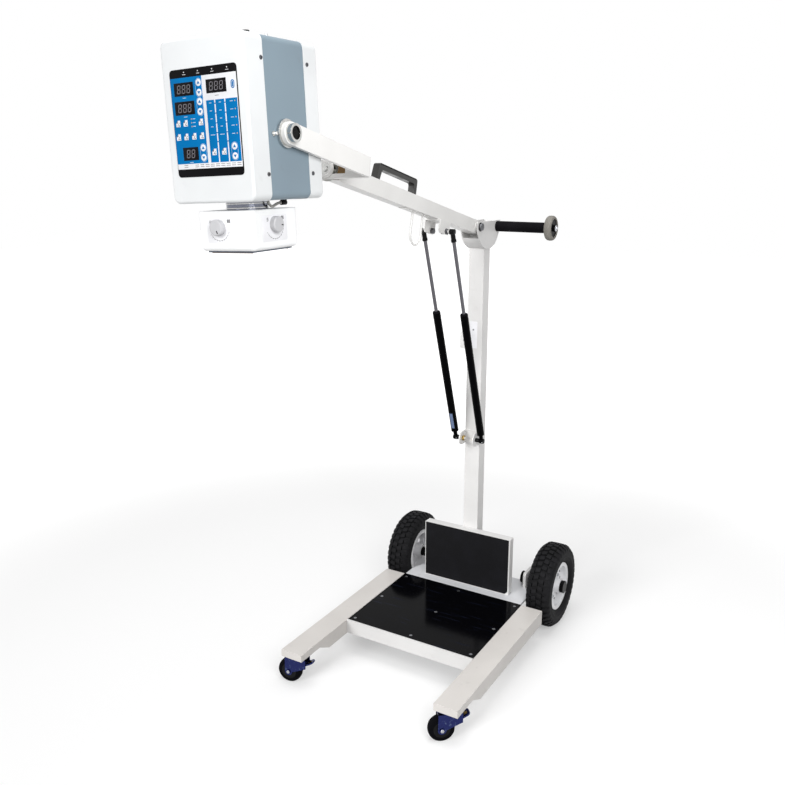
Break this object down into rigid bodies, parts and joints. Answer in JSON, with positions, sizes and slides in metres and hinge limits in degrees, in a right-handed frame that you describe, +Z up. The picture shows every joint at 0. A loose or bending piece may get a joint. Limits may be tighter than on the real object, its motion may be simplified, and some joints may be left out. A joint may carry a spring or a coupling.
{
  "type": "mobile x-ray unit",
  "caption": "Mobile x-ray unit on a wheeled cart: column, spring-balanced arm and yoke carry a tilting head with control panel and collimator.",
  "frame": {"origin": "on the floor below the middle of the whole unit, in the cart's mid-plane", "axes": "+Z up, +Y to the rear (from the head to the large wheels), +X to the side that the push grip points to"},
  "size_m": [0.5906, 1.3072, 1.6239],
  "materials": {
    "white_paint": "satin white powder coat",
    "deck_paint": "satin grey-white powder coat",
    "shell_paint": "semi-gloss white enamel on sheet steel",
    "band_paint": "semi-gloss blue-grey enamel",
    "black_plate": "glossy black coat",
    "zinc_steel": "bright zinc",
    "black_steel": "satin black coat",
    "tyre": "matt black rubber",
    "rim_paint": "silver-white paint",
    "black_rubber": "matt black",
    "roller_rubber": "matt warm grey",
    "weight_steel": "primed steel",
    "strut_rod": "ground steel",
    "phenolic": "brown laminate",
    "chrome": "polished",
    "panel_film": "printed membrane film",
    "tank_aluminium": "bare",
    "knob_plastic": "light grey",
    "window_plastic": "dark clear plastic",
    "blade_steel": "bare plate",
    "caster_zinc": "dark blue passivated zinc",
    "caster_tread": "black rubber tread"
  },
  "bodies": {
    "cart": {"side_rail_left": "white_paint", "side_rail_right": "white_paint", "cross_members": "white_paint", "rear_deck": "deck_paint", "foot_plate": "black_plate", "foot_plate_screws": "zinc_steel", "wheel_axles": "black_steel", "axle_brackets": "white_paint", "caster_mounts": "caster_zinc", "column": "white_paint", "pad_box": "white_paint", "rubber_pad": "black_rubber", "counterweight": "weight_steel", "lower_strut_bracket": "white_paint", "column_cheeks": "white_paint", "cheek_wrap": "white_paint", "arm_pivot_bolt": "zinc_steel", "grip_rod": "zinc_steel", "grip_sleeve": "black_rubber"},
    "wheel_left": {"tyre_left": "tyre", "rim_left": "rim_paint"},
    "wheel_right": {"tyre_right": "tyre", "rim_right": "rim_paint"},
    "end_wheel": {"end_wheel": "roller_rubber"},
    "arm": {"arm_beam": "white_paint", "carry_handle": "black_steel", "cable_hook": "white_paint", "upper_strut_bracket": "white_paint", "swivel_shaft": "black_steel", "friction_plate": "phenolic"},
    "yoke": {"yoke_frame": "white_paint", "yoke_bushings": "chrome"},
    "head": {"front_shell": "shell_paint", "centre_band": "band_paint", "rear_shell": "shell_paint", "control_panel": "panel_film", "head_trunnions": "zinc_steel", "tube_housing": "tank_aluminium", "collimator_housing": "shell_paint", "neck_ring": "black_steel", "collimator_window": "window_plastic", "head_cable": "black_rubber", "cable_gland": "black_rubber", "top_fittings": "black_rubber"},
    "knob_front": {"knob_front": "knob_plastic"},
    "knob_side": {"knob_side": "knob_plastic"},
    "blade_left": {"blade_left": "blade_steel"},
    "blade_right": {"blade_right": "blade_steel"},
    "blade_front": {"blade_front": "blade_steel"},
    "blade_rear": {"blade_rear": "blade_steel"},
    "caster_left": {"caster_fork_left": "caster_zinc"},
    "caster_wheel_left": {"caster_wheel_left": "caster_tread"},
    "caster_pedal_left": {"caster_pedal_left": "caster_zinc"},
    "strut_tube_left": {"strut_tube_left": "black_steel"},
    "strut_rod_left": {"strut_rod_left": "strut_rod"},
    "caster_right": {"caster_fork_right": "caster_zinc"},
    "caster_wheel_right": {"caster_wheel_right": "caster_tread"},
    "caster_pedal_right": {"caster_pedal_right": "caster_zinc"},
    "strut_tube_right": {"strut_tube_right": "black_steel"},
    "strut_rod_right": {"strut_rod_right": "strut_rod"}
  },
  "joints": [
    {"name": "wheel_left_spin", "type": "hinge", "parent": "cart", "child": "wheel_left", "pos_m": [-0.246, 0.525, 0.13], "axis": [1, 0, 0], "continuous": true},
    {"name": "caster_left_swivel", "type": "hinge", "parent": "cart", "child": "caster_left", "pos_m": [-0.23825, -0.143, 0.08], "axis": [0, 0, 1], "continuous": true},
    {"name": "caster_wheel_left_spin", "type": "hinge", "parent": "caster_left", "child": "caster_wheel_left", "pos_m": [-0.26386, -0.14752, 0.035], "axis": [0.1736, -0.9848, 0], "continuous": true},
    {"name": "caster_pedal_left_press", "type": "hinge", "parent": "caster_left", "child": "caster_pedal_left", "pos_m": [-0.21855, -0.13953, 0.06], "axis": [0.1736, -0.9848, 0], "range_deg": [-22, 0]},
    {"name": "strut_tube_left_lean", "type": "hinge", "parent": "cart", "child": "strut_tube_left", "pos_m": [-0.043, 0.421, 0.597], "axis": [1, 0, 0], "range_deg": [-0.4, 1.4]},
    {"name": "strut_rod_left_slide", "type": "slide", "parent": "strut_tube_left", "child": "strut_rod_left", "axis": [0, -0.3198, 0.9475], "range_m": [-0.122, 0.016]},
    {"name": "wheel_right_spin", "type": "hinge", "parent": "cart", "child": "wheel_right", "pos_m": [0.246, 0.525, 0.13], "axis": [1, 0, 0], "continuous": true},
    {"name": "caster_right_swivel", "type": "hinge", "parent": "cart", "child": "caster_right", "pos_m": [0.23825, -0.143, 0.08], "axis": [0, 0, 1], "continuous": true},
    {"name": "caster_wheel_right_spin", "type": "hinge", "parent": "caster_right", "child": "caster_wheel_right", "pos_m": [0.21833, -0.15971, 0.035], "axis": [0.6428, -0.766, 0], "continuous": true},
    {"name": "caster_pedal_right_press", "type": "hinge", "parent": "caster_right", "child": "caster_pedal_right", "pos_m": [0.25357, -0.13014, 0.06], "axis": [0.6428, -0.766, 0], "range_deg": [-22, 0]},
    {"name": "strut_tube_right_lean", "type": "hinge", "parent": "cart", "child": "strut_tube_right", "pos_m": [0.043, 0.421, 0.597], "axis": [1, 0, 0], "range_deg": [-0.4, 1.4]},
    {"name": "strut_rod_right_slide", "type": "slide", "parent": "strut_tube_right", "child": "strut_rod_right", "axis": [0, -0.3198, 0.9475], "range_m": [-0.122, 0.016]},
    {"name": "end_wheel_spin", "type": "hinge", "parent": "cart", "child": "end_wheel", "pos_m": [0.193, 0.5253, 1.227], "axis": [1, 0, 0], "continuous": true},
    {"name": "arm_lift", "type": "hinge", "parent": "cart", "child": "arm", "pos_m": [0, 0.4114, 1.2316], "axis": [1, 0, 0], "range_deg": [-4, 34]},
    {"name": "yoke_roll", "type": "hinge", "parent": "arm", "child": "yoke", "pos_m": [0, -0.29015, 1.39356], "axis": [0, -0.9744, 0.225], "range_deg": [-90, 90]},
    {"name": "head_tilt", "type": "hinge", "parent": "yoke", "child": "head", "pos_m": [0, -0.55225, 1.45408], "axis": [0.9991, 0.0094, 0.0408], "range_deg": [-90, 90]},
    {"name": "knob_front_turn", "type": "hinge", "parent": "head", "child": "knob_front", "pos_m": [-0.00632, -0.62584, 1.29497], "axis": [0.0094, -1, 0.0002], "range_deg": [-121, 41]},
    {"name": "knob_side_turn", "type": "hinge", "parent": "head", "child": "knob_side", "pos_m": [0.07106, -0.56311, 1.29984], "axis": [0.9991, 0.0094, 0.0408], "range_deg": [-121, 41]},
    {"name": "blade_right_slide", "type": "slide", "parent": "head", "child": "blade_right", "axis": [0.9991, 0.0094, 0.0408], "range_m": [-0.018, 0.006]},
    {"name": "blade_left_slide", "type": "slide", "parent": "head", "child": "blade_left", "axis": [-0.9991, -0.0094, -0.0408], "range_m": [-0.0181, 0.0061]},
    {"name": "blade_front_slide", "type": "slide", "parent": "head", "child": "blade_front", "axis": [0.0094, -1, 0.0002], "range_m": [-0.018, 0.006]},
    {"name": "blade_rear_slide", "type": "slide", "parent": "head", "child": "blade_rear", "axis": [-0.0094, 1, -0.0002], "range_m": [-0.0181, 0.0061]}
  ],
  "couplings": [
    {"joint": "blade_left_slide", "follows": "blade_right_slide", "ratio": 1},
    {"joint": "knob_front_turn", "follows": "blade_right_slide", "rad_per_m": 116.36},
    {"joint": "blade_rear_slide", "follows": "blade_front_slide", "ratio": 1},
    {"joint": "knob_side_turn", "follows": "blade_front_slide", "rad_per_m": 116.36},
    {"joint": "strut_tube_left_lean", "follows": "arm_lift", "ratio": 0.0302},
    {"joint": "strut_rod_left_slide", "follows": "arm_lift", "m_per_rad": -0.2009},
    {"joint": "strut_tube_right_lean", "follows": "arm_lift", "ratio": 0.0302},
    {"joint": "strut_rod_right_slide", "follows": "arm_lift", "m_per_rad": -0.2009}
  ]
}
